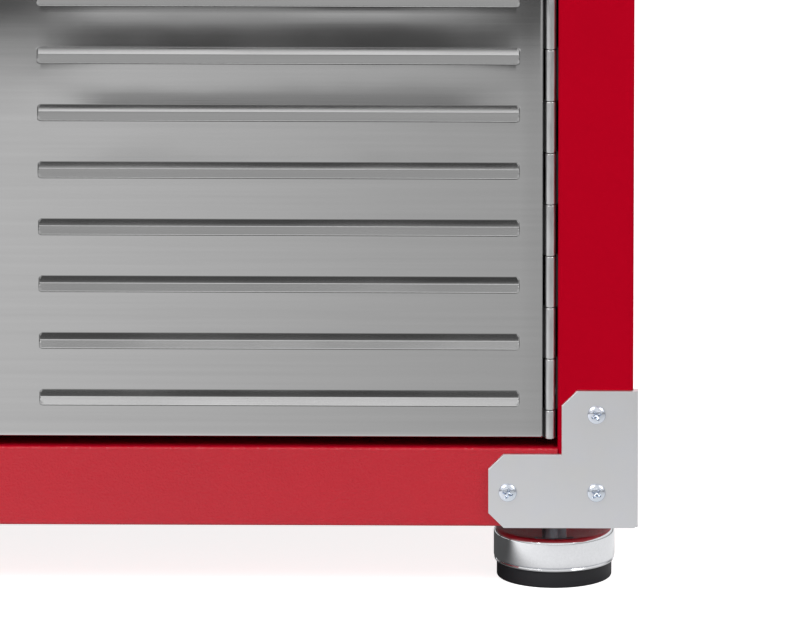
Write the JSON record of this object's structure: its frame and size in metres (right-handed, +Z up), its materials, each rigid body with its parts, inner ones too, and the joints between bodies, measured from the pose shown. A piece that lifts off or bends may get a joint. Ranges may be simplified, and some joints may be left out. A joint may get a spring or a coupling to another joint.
{
  "type": "two-door tool cabinet",
  "caption": "Low sheet-steel tool cabinet with ribbed steel doors on continuous hinges, corner brackets and levelling feet.",
  "frame": {"origin": "on the floor, under the middle of the whole object's box", "axes": "+X to the right seen from the front, +Y from the doors to the back, +Z up"},
  "size_m": [0.716, 0.4886, 0.86],
  "materials": {
    "red_powder_coat": "semi-gloss powder coat",
    "brushed_stainless": "brushed across the door",
    "satin_bracket_steel": "satin",
    "hinge_steel": "satin",
    "zinc_plated_screws": "bright zinc plate",
    "chrome_plate": "polished",
    "black_rubber": "matt",
    "galvanised_steel": "satin",
    "black_plastic": "matt"
  },
  "bodies": {
    "cabinet": {"right_side_panel": "red_powder_coat", "left_side_panel": "red_powder_coat", "floor_panel": "red_powder_coat", "top_panel": "red_powder_coat", "back_panel": "red_powder_coat", "back_panel_screws": "zinc_plated_screws", "bracket_bottom_right": "satin_bracket_steel", "bracket_bottom_left": "satin_bracket_steel", "bracket_top_right": "satin_bracket_steel", "bracket_top_left": "satin_bracket_steel", "bracket_screws": "chrome_plate", "shelf_standards": "galvanised_steel", "shelf_clips": "zinc_plated_screws", "foot_plates": "red_powder_coat", "foot_weld_nuts": "zinc_plated_screws", "foot_jam_nuts": "zinc_plated_screws", "hinge_frame_rivets": "zinc_plated_screws", "right_hinge_frame_leaf": "hinge_steel", "left_hinge_frame_leaf": "hinge_steel", "right_hinge_pin": "hinge_steel", "left_hinge_pin": "hinge_steel", "magnet_catches": "black_plastic"},
    "right_door": {"right_door_skin": "brushed_stainless", "right_door_liner": "galvanised_steel", "right_hinge_door_leaf": "hinge_steel", "right_hinge_door_rivets": "zinc_plated_screws", "right_door_handle": "brushed_stainless", "right_handle_screws": "zinc_plated_screws", "right_strike_plate": "zinc_plated_screws", "lock_barrel": "chrome_plate", "lock_nut": "zinc_plated_screws"},
    "left_door": {"left_door_skin": "brushed_stainless", "left_door_liner": "galvanised_steel", "left_hinge_door_leaf": "hinge_steel", "left_hinge_door_rivets": "zinc_plated_screws", "left_door_handle": "brushed_stainless", "left_handle_screws": "zinc_plated_screws", "left_strike_plate": "zinc_plated_screws", "left_bolt_housing": "zinc_plated_screws"},
    "lock": {"lock_plug": "chrome_plate", "lock_cam": "zinc_plated_screws", "lock_cam_screw": "zinc_plated_screws"},
    "slide_bolt": {"left_bolt_rod": "chrome_plate"},
    "shelf": {"shelf": "red_powder_coat"},
    "foot_front_left": {"foot_cup_front_left": "chrome_plate", "foot_pad_front_left": "black_rubber"},
    "stud_front_left": {"foot_stud_front_left": "zinc_plated_screws"},
    "foot_front_right": {"foot_cup_front_right": "chrome_plate", "foot_pad_front_right": "black_rubber"},
    "stud_front_right": {"foot_stud_front_right": "zinc_plated_screws"},
    "foot_rear_left": {"foot_cup_rear_left": "chrome_plate", "foot_pad_rear_left": "black_rubber"},
    "stud_rear_left": {"foot_stud_rear_left": "zinc_plated_screws"},
    "foot_rear_right": {"foot_cup_rear_right": "chrome_plate", "foot_pad_rear_right": "black_rubber"},
    "stud_rear_right": {"foot_stud_rear_right": "zinc_plated_screws"}
  },
  "joints": [
    {"name": "right_door_swing", "type": "hinge", "parent": "cabinet", "child": "right_door", "pos_m": [0.31455, -0.2118, 0.4475], "axis": [0, 0, 1], "range_deg": [0, 110]},
    {"name": "left_door_swing", "type": "hinge", "parent": "cabinet", "child": "left_door", "pos_m": [-0.31455, -0.2118, 0.4475], "axis": [0, 0, -1], "range_deg": [0, 110]},
    {"name": "lock_turn", "type": "hinge", "parent": "right_door", "child": "lock", "pos_m": [0.0285, -0.2143, 0.5525], "axis": [0, -1, 0], "range_deg": [0, 90]},
    {"name": "bolt_slide", "type": "slide", "parent": "left_door", "child": "slide_bolt", "axis": [0, 0, -1], "range_m": [0, 0.012]},
    {"name": "shelf_lift", "type": "slide", "parent": "cabinet", "child": "shelf", "axis": [0, 0, 1], "range_m": [0, 0.025]},
    {"name": "foot_level_front_left", "type": "slide", "parent": "cabinet", "child": "foot_front_left", "axis": [0, 0, -1], "range_m": [-0.003, 0.02]},
    {"name": "stud_turn_front_left", "type": "hinge", "parent": "foot_front_left", "child": "stud_front_left", "pos_m": [-0.3166, -0.1723, 0.04], "axis": [0, 0, -1], "range_deg": [-620, 4120]},
    {"name": "foot_level_front_right", "type": "slide", "parent": "cabinet", "child": "foot_front_right", "axis": [0, 0, -1], "range_m": [-0.003, 0.02]},
    {"name": "stud_turn_front_right", "type": "hinge", "parent": "foot_front_right", "child": "stud_front_right", "pos_m": [0.3166, -0.1723, 0.04], "axis": [0, 0, -1], "range_deg": [-620, 4120]},
    {"name": "foot_level_rear_left", "type": "slide", "parent": "cabinet", "child": "foot_rear_left", "axis": [0, 0, -1], "range_m": [-0.003, 0.02]},
    {"name": "stud_turn_rear_left", "type": "hinge", "parent": "foot_rear_left", "child": "stud_rear_left", "pos_m": [-0.3166, 0.2007, 0.04], "axis": [0, 0, -1], "range_deg": [-620, 4120]},
    {"name": "foot_level_rear_right", "type": "slide", "parent": "cabinet", "child": "foot_rear_right", "axis": [0, 0, -1], "range_m": [-0.003, 0.02]},
    {"name": "stud_turn_rear_right", "type": "hinge", "parent": "foot_rear_right", "child": "stud_rear_right", "pos_m": [0.3166, 0.2007, 0.04], "axis": [0, 0, -1], "range_deg": [-620, 4120]}
  ],
  "couplings": [
    {"joint": "stud_turn_front_left", "follows": "foot_level_front_left", "rad_per_m": 3590.4},
    {"joint": "stud_turn_front_right", "follows": "foot_level_front_right", "rad_per_m": 3590.4},
    {"joint": "stud_turn_rear_left", "follows": "foot_level_rear_left", "rad_per_m": 3590.4},
    {"joint": "stud_turn_rear_right", "follows": "foot_level_rear_right", "rad_per_m": 3590.4}
  ]
}
